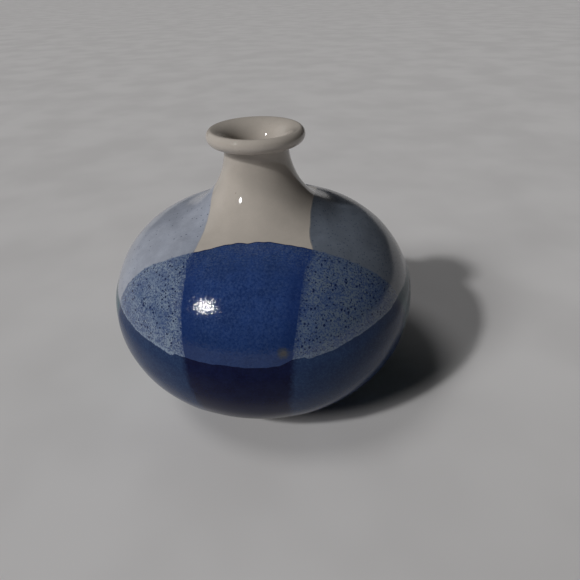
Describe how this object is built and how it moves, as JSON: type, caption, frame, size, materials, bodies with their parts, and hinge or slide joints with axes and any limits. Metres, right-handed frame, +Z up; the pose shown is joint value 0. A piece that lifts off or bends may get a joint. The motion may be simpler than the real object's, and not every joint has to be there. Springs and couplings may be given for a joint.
{
  "type": "bud vase",
  "caption": "Squat round ceramic bud vase with a narrow neck, a rolled lip and overlapping blue glaze dips over white.",
  "frame": {"origin": "on the vase's axis, in the plane that the foot ring stands on", "axes": "+Z up along the axis of the vase; -Y is the front, where the cobalt dip faces the viewer; +X is the viewer's right"},
  "size_m": [0.1114, 0.1116, 0.0997],
  "materials": {
    "clay": "matte",
    "white_glaze": "gloss",
    "cobalt_glaze": "gloss",
    "pale_glaze": "gloss",
    "dark_glaze": "gloss"
  },
  "bodies": {
    "root": {"clay_body": "clay", "liner_glaze": "white_glaze", "base_glaze": "white_glaze", "front_dip_glaze": "cobalt_glaze", "back_dip_glaze": "cobalt_glaze", "left_dip_glaze": "pale_glaze", "right_dip_glaze": "pale_glaze", "dark_dip_glaze": "dark_glaze"}
  },
  "joints": []
}
